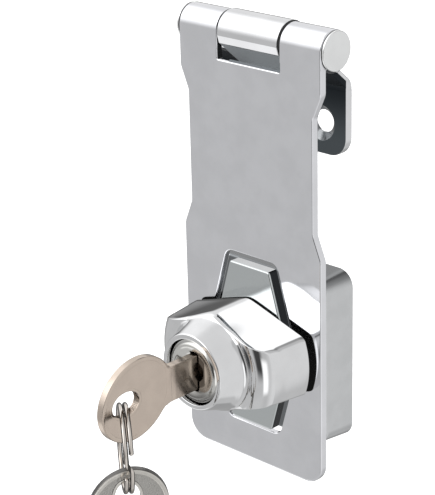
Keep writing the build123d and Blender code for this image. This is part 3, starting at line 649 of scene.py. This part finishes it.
# The fillet at the neck touches the blade's edge and the ellipse: its centre slides along a line at one
# radius from the edge, by halving, until its nearest ellipse point is one radius away.
def neckFillet(side, radius, shape=keyShape):
    t = np.linspace(0, 2 * pi, 2000)
    ellipse = bowPoints(t)
    height = side * (shape["bladeHeight"] + radius)
    near, far = [shape["bowCentre"] - reach for reach in shape["filletSearch"]]
    for _ in range(40):
        middle = (near + far) / 2
        gap = np.min(np.hypot(ellipse[:, 0] - middle, ellipse[:, 1] - height)) - radius
        beside = ellipse[np.abs(ellipse[:, 0] - middle) < shape["filletReach"], 1]
        inside = abs(height) < np.max(np.abs(beside), initial=0)
        near, far = (near, middle) if gap < 0 or inside else (middle, far)
    centre = np.array([near, height])
    touch = t[np.argmin(np.hypot(ellipse[:, 0] - near, ellipse[:, 1] - height))]
    return centre, touch, angleOf(bowPoints(touch), centre)


# The blade's cuts along one edge: four points each, down one slope, along the floor and up the other.
def bladeCuts(side, shape=keyShape):
    rows = []
    for place, depth in zip(shape["cuts"], shape["cutDepths"]):
        edge, floor = side * shape["bladeHeight"], side * (shape["bladeHeight"] - depth)
        rows += [(place - shape["cutHalf"], edge), (place - shape["cutFlat"], floor),
                 (place + shape["cutFlat"], floor), (place + shape["cutHalf"], edge)]
    return sorted(rows)


# Outline of a whole key: the cut edges, a fillet at each side of the neck, and the bow's ellipse.
def keyOutline(shape=keyShape):
    upper, upperTouch, upperAngle = neckFillet(1, shape["upperFillet"])
    lower, lowerTouch, lowerAngle = neckFillet(-1, shape["lowerFillet"])
    tip, high, point = shape["tip"], shape["bladeHeight"], shape["point"]
    lowerStart = lowerTouch - 2 * pi if lowerTouch > upperTouch else lowerTouch
    bow = bowPoints(np.linspace(upperTouch, lowerStart, 90))
    fillets = [arcPoints(upper, shape["upperFillet"], -90, upperAngle, 9),
               arcPoints(lower, shape["lowerFillet"], lowerAngle, 90, 7)]
    top = [(tip, high - point)] + bladeCuts(1)[1:]
    bottom = bladeCuts(-1)[:0:-1] + [(tip, -high + point)]
    return tracedOutline(np.concatenate([top, fillets[0], bow[1:-1], fillets[1], bottom]))


# A key is closed shells that overlap: the blade, the bow's raised rim, the sunken web and the hole's lip.
def makeKey(name, body, node, look, move, material, recess, webMaterial=None):
    shape = keyShape
    full = keyOutline()[0]
    bow = tracedOutline(full[full[:, 0] > shape["neck"]])
    bladeSide = tracedOutline(full[full[:, 0] < shape["neck"] + shape["bladeUnder"]])
    around = np.linspace(0, 2 * pi, 90, endpoint=False)
    panel = tracedOutline(bowPoints(around, shape["rimWidth"]))
    web = tracedOutline(bowPoints(around, shape["rimWidth"] - shape["webUnder"]))
    centre, long, short, rim = shape["holeCentre"], shape["holeLong"], shape["holeShort"], shape["holeRim"]
    hole = asHole(ovalOutline(centre, 0, long, short))
    lip = ovalOutline(centre, 0, long + rim, short + rim)
    half, blade, floor = shape["half"], shape["bladeHalf"], shape["half"] - recess
    bladeRoll, edgeRoll, holeRoll = shape["bladeRoll"], shape["edgeRoll"], shape["holeRoll"]
    lipHalf = half - shape["holeDrop"]
    parts = MeshParts(look, move)
    face = MeshParts(look, move) if webMaterial else parts
    parts.addSlab(bladeSide, -blade, blade, bladeRoll, bladeRoll)
    parts.addSlab(bow, -half, half, edgeRoll, edgeRoll, [(asHole(panel), shape["rimRoll"])])
    face.addSlab(web, -floor, floor, shape["webRoll"], shape["webRoll"], [(hole, shape["webHoleRoll"])])
    parts.addSlab(lip, -lipHalf, lipHalf, holeRoll, holeRoll, [(hole, holeRoll)])
    finishPiece(parts.build(name, weld=0.0005), body, material, node)
    if webMaterial:
        finishPiece(face.build(name + "Face", weld=0.0005), body, webMaterial)


# What hangs from the first key: the ring's place and the angle of its plane, and the spare key's shift down.
hanging = {"depth": 52.0, "planAngle": 142.0, "ringCentre": -10.9, "keyShift": -75.0}


# A turn about the upright axis, in degrees.
def turnAboutZ(angle):
    c, s = cos(radians(angle)), sin(radians(angle))
    return np.array([[c, -s, 0], [s, c, 0], [0, 0, 1]])


def makeKeys():
    makeKey("lockKey", "first_key", "key", sideLook, (0, 0, 0), "nickelKey", keyShape["recess"])
    pointDown = np.array([[1, 0, 0], [0, 0, 1], [0, -1, 0]], float)
    makeKey("spareKey", "second_key", "spare_key", turnAboutZ(hanging["planAngle"]) @ pointDown @ sideLook,
            (0, -hanging["depth"], hanging["keyShift"]), "spareRim", keyShape["spareRecess"], "grainedKey")


# Split ring: a wire of two flat turns side by side, which change over in one short step. Angles in degrees.
ringShape = {"radius": 9.6, "wire": 0.55, "pitch": 1.26, "step": 9.0, "end": 17.0, "endRound": 0.25,
             "endThin": 0.75, "rows": 420, "columns": 24}


# A tube along two turns, less a gap at each end, which moves to the other side by an S-shaped step half way.
# Near each end its radius thins to a half, rounded like an ellipse.
def makeRing():
    shape = ringShape
    rows, columns = shape["rows"], shape["columns"]
    around = np.radians(np.linspace(shape["end"] - 180, 540 - shape["end"], rows))
    change = np.clip((np.degrees(around) - 180 + shape["step"]) / (2 * shape["step"]), 0, 1)
    side = shape["pitch"] * (change * change * (3 - 2 * change) - 0.5)
    tube = np.linspace(0, 2 * pi, columns, endpoint=False)
    fromEnd = np.minimum(np.arange(rows), np.arange(rows)[::-1]) * (around[1] - around[0]) * shape["radius"]
    near = 1 - np.clip(fromEnd / shape["endRound"], 0, 1)
    thick = shape["wire"] * np.sqrt(1 - near ** 2 * shape["endThin"])
    reach = shape["radius"] + thick[:, None] * np.cos(tube)
    grid = np.stack([reach * np.cos(around)[:, None], reach * np.sin(around)[:, None],
                     side[:, None] + thick[:, None] * np.sin(tube)], axis=2)
    stand = turnAboutZ(hanging["planAngle"]) @ frontLook
    parts = MeshParts(stand, (0, -hanging["depth"], hanging["ringCentre"]))
    parts.addGrid(grid, closedColumns=True)
    corner = np.arange(columns)
    fan = np.stack([corner, np.roll(corner, -1), np.full(columns, columns)], axis=1)
    for row in (0, -1):
        parts.add(np.concatenate([grid[row], grid[row].mean(axis=0)[None]]), fan)
    finishPiece(parts.build("splitRing", sharpAngle=60), "ring", "ringWire", "split_ring")


# Metal finishes. Each gives its tint, its roughness, how far patches of haze change that, the scale of the
# patches, and the scale and height of the plating's ripples.
finishes = {
    "brightChrome": ((0.83, 0.835, 0.85), 0.05, 0.03, 160.0, 420.0, 0.02),
    "knobChrome": ((0.83, 0.835, 0.845), 0.05, 0.03, 160.0, 420.0, 0.02),
    "strapChrome": ((0.83, 0.836, 0.865), 0.06, 0.03, 160.0, 420.0, 0.02),
    "leafChrome": ((0.83, 0.835, 0.85), 0.06, 0.03, 160.0, 420.0, 0.02),
    "castChrome": ((0.655, 0.665, 0.675), 0.10, 0.05, 220.0, 500.0, 0.03),
    "plugChrome": ((0.74, 0.735, 0.71), 0.11, 0.05, 300.0, 700.0, 0.05),
    "discChrome": ((0.93, 0.94, 0.94), 0.26, 0.04, 200.0, 600.0, 0.03),
    "satinSteel": ((0.60, 0.60, 0.61), 0.30, 0.12, 700.0, 2500.0, 0.15),
    "turnedBrass": ((0.78, 0.61, 0.33), 0.24, 0.10, 500.0, 1800.0, 0.12),
    "nickelKey": ((0.66, 0.565, 0.485), 0.22, 0.08, 300.0, 1500.0, 0.10),
    "spareRim": ((0.66, 0.64, 0.60), 0.14, 0.08, 900.0, 1800.0, 0.12),
    "grainedKey": ((0.40, 0.39, 0.37), 0.28, 0.16, 2200.0, 3000.0, 0.8),
    "ringWire": ((0.74, 0.69, 0.64), 0.08, 0.05, 600.0, 900.0, 0.04),
}
patina = {"dull": 0.94, "hazeRise": (0.3, 0.7), "hazeDetail": 3.0, "rippleDetail": 2.0, "rippleReach": 0.0001}

# Painted shade: darker or duller tints painted on parts of a piece, standing in for shade in gaps and
# recesses and for the dark surroundings that the chrome would mirror. Each gives its tint, the roughness that
# it adds, and two limits, in millimetres, of every measure that it names: depth from the wall plane, height,
# aside from the middle plane, ahead of the leaf's back, hexagon (half width at mid height of the hexagon
# through the point), and ringSide and spareSide from the middle planes of the ring and the spare key. A limit
# fades over its soft width in the table below, or over the shade's own, such as "heightSoft".
paintedShadeSoft = {"ahead": 0.1, "depth": 0.08, "height": 0.4, "aside": 0.02, "hexagon": 0.05, "ringSide": 0.1,
             "spareSide": 0.03}
paintedShades = {
    # knob: painted shade on its rear face, so that its mirror images in the strap and plinth are dark
    "knobChrome": [((0.02, 0.02, 0.02), 0.3, {"depth": (11.0, 11.72)})],
    "strapChrome": [
        # strap: painted shade, slightly darker on its back, dark on the edge of its hexagonal hole and on the
        # ears' ends at the window
        ((0.62, 0.63, 0.65), 0.12, {"depth": (0, 8.72), "height": (-40, 69.5)}),
        ((0.16, 0.17, 0.18), 0.1, {"depth": (8.9, 10.1), "height": (-22, 24), "hexagon": (13.9, 14.7)}),
        ((0.05, 0.05, 0.05), 0.2, {"depth": (0, 10.2), "height": (66, 80), "aside": (9.0, 9.6)})],
    "leafChrome": [
        # leaf: painted shade and painted dark reflection on its front under the strap, lighter on the middle
        # strip and darkest on the wings; painted shade in the countersinks and on the ends of the middle
        # knuckle
        ((0.10, 0.115, 0.125), 0.3, {"ahead": (1.5, 20), "depth": (2.1, 9.9), "height": (40, 70.9)}),
        ((0.42, 0.45, 0.47), 0.15, {"ahead": (1.5, 20), "height": (60, 70.8), "aside": (0, 9.0)}),
        ((0.022, 0.027, 0.032), 0.2, {"ahead": (1.5, 20), "depth": (2.1, 9.9), "height": (64, 75),
                                      "heightSoft": 13.0, "aside": (9.3, 30)}),
        ((0.3, 0.31, 0.32), 0.1, {"depth": (0.3, 2.1), "height": (51, 59.4), "aside": (9.8, 18.2)}),
        ((0.05, 0.05, 0.05), 0.2, {"height": (66, 80), "aside": (8.99, 9.5)})],
    "castChrome": [
        # base: painted shade, darker on the plinth's front face, near black in the gap round the plinth, and
        # darker on the box's top edge and on the base's face seen through the strap's hole
        ((0.60, 0.63, 0.635), 0.0, {"depth": (10.9, 12)}),
        ((0.025, 0.027, 0.03), 0.0, {"depth": (8.0, 10.85), "hexagon": (11.6, 12.4)}),
        ((0.22, 0.225, 0.23), 0.1, {"depth": (-1, 8.2), "height": (20.4, 22), "heightSoft": 3.0}),
        ((0.2, 0.21, 0.22), 0.1, {"depth": (8.0, 8.5), "hexagon": (0, 14.6)})],
    "plugChrome": [
        # plug: painted dark reflection on the lower part of its face, painted shade in its mouth
        ((0.25, 0.245, 0.235), 0.1, {"depth": (28.5, 31), "height": (-9, -5.6), "heightSoft": 3.2}),
        ((0.20, 0.19, 0.175), 0.2, {"depth": (10, 29.6), "aside": (0, 3)})],
    # pin's discs: painted shade on the edge beside the ear
    "discChrome": [((0.06, 0.06, 0.06), 0.0, {"aside": (21.2, 21.55)})],
    # sleeve: painted shade on its front, so that the gap round the plug is dark
    "turnedBrass": [((0.03, 0.03, 0.03), 0.2, {"depth": (26.4, 27.0)})],
    # first key: painted darker reflection on its blade
    "nickelKey": [((0.48, 0.41, 0.352), 0.0, {"depth": (14, 36.4), "depthSoft": 0.8})],
    # spare key: painted shade on its edges and the walls of its recesses, drawn as dark lines
    "spareRim": [((0.13, 0.125, 0.12), 0.1, {"spareSide": (-1, 0.9)})],
    "ringWire": [
        # ring: painted shade between its two turns and on its outer sides
        ((0.07, 0.065, 0.06), 0.1, {"ringSide": (-1, 0.30)}),
        ((0.09, 0.08, 0.075), 0.1, {"ringSide": (1.0, 2.0)})],
}


# The measures that place the painted shade. Distance from a plane is the point's offset times the plane's
# direction.
def paintedShadeMeasures(bench, place):
    aside, inward, height = [bench.node("ShaderNodeSeparateXYZ", None, {0: place}, axis) / mm
                             for axis in range(3)]
    leafRear = ((height - leafShape["bendRear"][1]) * tan(radians(leafShape["bend"]))).most(0.0)
    across, along = sin(radians(hanging["planAngle"])), -cos(radians(hanging["planAngle"]))
    beyond = inward + hanging["depth"]
    return {"depth": -inward, "height": height, "aside": abs(aside), "ahead": -inward - leafRear,
            "hexagon": abs(aside) + hexagonSlope * abs(height),
            "ringSide": abs(across * aside + along * beyond),
            "spareSide": abs(across * beyond - along * aside)}


# Colour and roughness follow the haze, then each painted shade covers them with its darker tint where all of
# its limits hold.
def metal(name):
    tint, rough, roughSpread, hazeScale, rippleScale, ripple = finishes[name]
    material, bench = newMaterial(name, tint)
    place = bench.objectPlace()
    haze = bench.noise(place, hazeScale, patina["hazeDetail"])
    roughness = rough + roughSpread * (haze - 0.5)
    ripples = bench.noise(place, rippleScale, patina["rippleDetail"])
    dull = tuple(patina["dull"] * part for part in tint) + (1.0,)
    colour = bench.mixColour(haze.rise(*patina["hazeRise"]), dull, tint + (1.0,))
    measures = paintedShadeMeasures(bench, place)
    for paintedShadeTint, dulling, limits in paintedShades.get(name, ()):
        there = 1.0
        for measure, soft in paintedShadeSoft.items():
            if measure in limits:
                low, high = limits[measure]
                soft = limits.get(measure + "Soft", soft)
                value = measures[measure]
                there = value.rise(low - soft, low) * (1.0 - value.rise(high, high + soft)) * there
        colour = bench.mixColour(there, colour, paintedShadeTint + (1.0,))
        roughness = roughness + dulling * there
    bench.finish("ShaderNodeOutputMaterial", bench.node("ShaderNodeBsdfPrincipled", None, {
        "Base Color": colour,
        "Metallic": 1.0,
        "Roughness": roughness,
        "Normal": bench.bump(ripples, ripple, patina["rippleReach"]),
    }))
    return material


materials = {name: metal(name) for name in finishes}
finishOfSlot = {"brass": "turnedBrass", "inner_steel": "satinSteel", "nickel_key": "nickelKey",
                "ring_wire": "ringWire"}    # the plated slots are bright chrome
slotOfNode = {entry["node"]: entry["material_slot"] for entry in frame["record"]["subparts"]}
finishOfNode = {"lock_base": "castChrome", "hinge_pin": "discChrome", "hinge_pin_cap": "discChrome"}
for name, part in frame["nodes"].items():
    ofSlot = finishOfSlot.get(slotOfNode[name], "brightChrome")
    for slot in part.material_slots:
        slot.material = materials[finishOfNode.get(name, ofSlot)]
print("materials ready:", len(materials))


# Gives a piece its metal and its body, and hides the CAD node that it stands for, if there is one.
def finishPiece(piece, body, material, node=None):
    piece.data.materials.append(materials[material])
    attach(piece, body)
    if node:
        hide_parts(node)
    print(f"{piece.name}: {len(piece.data.polygons)} faces")


for makePiece in (makeKnob, makeStrap, makePlinth, makeLeaf, makePlug, makeKeys, makeRing):
    makePiece()


# Camera, as in the photograph: where it stands, in millimetres, and how it is turned, in degrees.
shot = {"place": (257.86, -283.92, 168.15), "azimuth": 44.48, "elevation": 20.90, "roll": -1.42,
        "lens": 127.48, "sensor": 36.0, "nearest": 0.01}


def placeCamera():
    camera = bpy.data.objects.new("photoCamera", bpy.data.cameras.new("photoCamera"))
    camera.data.lens = shot["lens"]
    camera.data.sensor_width = shot["sensor"]
    camera.data.clip_start = shot["nearest"]
    camera.location = Vector(shot["place"]) * mm
    aim = Euler((radians(90 - shot["elevation"]), 0, radians(shot["azimuth"])), "XYZ").to_matrix()
    camera.rotation_euler = (aim @ Matrix.Rotation(radians(shot["roll"]), 3, "Z")).to_euler()
    bpy.context.scene.collection.objects.link(camera)
    bpy.context.scene.camera = camera


placeCamera()


# Studio: panels round the object, seen only in reflections. Azimuth 0 is in front and grows to the right, and
# angles are in degrees. A later panel covers an earlier one. Each gives the azimuth of its middle, its half
# width, the elevation of its middle, its half height, its level of light and how far its edges fade.
room = {"level": 0.575, "floorDrop": 95.0, "floorHalf": 900.0, "floorTint": 0.90, "floorGlow": 0.62}
panels = {
    "tableGlow": (-40, 75, -65, 27, 0.62, 8),
    "backGlow": (-140, 40, -35, 40, 0.38, 9),
    "rightWall": (92, 36, 5, 75, 0.78, 10),
    "rightBack": (132, 18, -6, 28, 0.76, 10),
    "backShade": (-178, 20, 34, 26, 0.25, 12),
    "leftBackWall": (-134, 26, 42, 34, 0.88, 9),
    "backKicker": (-156, 13, 40, 24, 1.3, 6),
    "leftSoftbox": (-55, 58, 37, 28, 1.35, 12),
    "facetShade": (-133, 15, -9, 11, 0.12, 6),
    "ledgeGlow": (-62, 22, -43, 9, 1.05, 4),
    "hotCore": (-30, 34, 42, 18, 2.2, 10),
    "frontFlag": (18, 16, -3, 18, 0.06, 8),
    "rightStrip": (41, 9, -20, 20, 1.3, 5),
    "topGlow": (0, 200, 84, 19, 0.80, 11),
}


def lightRoom():
    world = bpy.data.worlds.new("studio")
    bpy.context.scene.world = world
    world.use_nodes = True
    world.node_tree.nodes.clear()
    bench = Bench(world.node_tree)
    heading = bench.node("ShaderNodeTexCoord", None, None, "Generated")
    right, back, up = [bench.node("ShaderNodeSeparateXYZ", None, {0: heading}, axis) for axis in range(3)]
    azimuth = bench.math("ARCTAN2", right, -back) * (180 / pi)
    elevation = bench.math("ARCSINE", up, 0.0) * (180 / pi)
    level = 0.0 * up + room["level"]
    for middle, halfWidth, rise, halfHeight, light, soft in panels.values():
        aside = abs(azimuth - middle)
        aside = aside.least(360.0 - aside)
        above = abs(elevation - rise)
        covers = ((1.0 - aside.rise(halfWidth - soft, halfWidth + soft))
                  * (1.0 - above.rise(halfHeight - soft, halfHeight + soft)))
        level = level * (1.0 - covers) + covers * light
    seen = bench.node("ShaderNodeLightPath", None, None, "Is Camera Ray")
    strength = seen + (1.0 - seen) * level
    background = bench.node("ShaderNodeBackground", None, {"Color": (1, 1, 1, 1), "Strength": strength})
    bench.finish("ShaderNodeOutputWorld", background)


def layFloor():
    material, bench = newMaterial("paleFloor", (0.9, 0.9, 0.9))
    tint = room["floorTint"]
    seen = bench.node("ShaderNodeLightPath", None, None, "Is Camera Ray")
    matt = bench.node("ShaderNodeBsdfDiffuse", None, {"Color": (tint, tint, tint, 1.0)})
    glow = bench.node("ShaderNodeEmission", None, {"Strength": seen * room["floorGlow"]})
    bench.finish("ShaderNodeOutputMaterial", bench.node("ShaderNodeAddShader", None, {0: matt, 1: glow}))
    half = room["floorHalf"]
    grid = np.array([[[-half, -half, 0], [half, -half, 0]], [[-half, half, 0], [half, half, 0]]], float)
    parts = MeshParts(look=np.eye(3), move=(0, 0, -room["floorDrop"]))
    parts.addGrid(grid)
    floor = parts.build("floor")
    floor.data.materials.append(material)
    floor.visible_glossy = False


for hidden in (frame["nodes"]["lock_base"], bpy.data.objects["strapPlate"], bpy.data.objects["plinthFace"]):
    hidden.visible_glossy = False    # the knob's flank would show their edges as hard lines
lightRoom()
layFloor()
bpy.context.scene.view_settings.view_transform = "Standard"
print("camera and room ready:", len(panels), "panels")
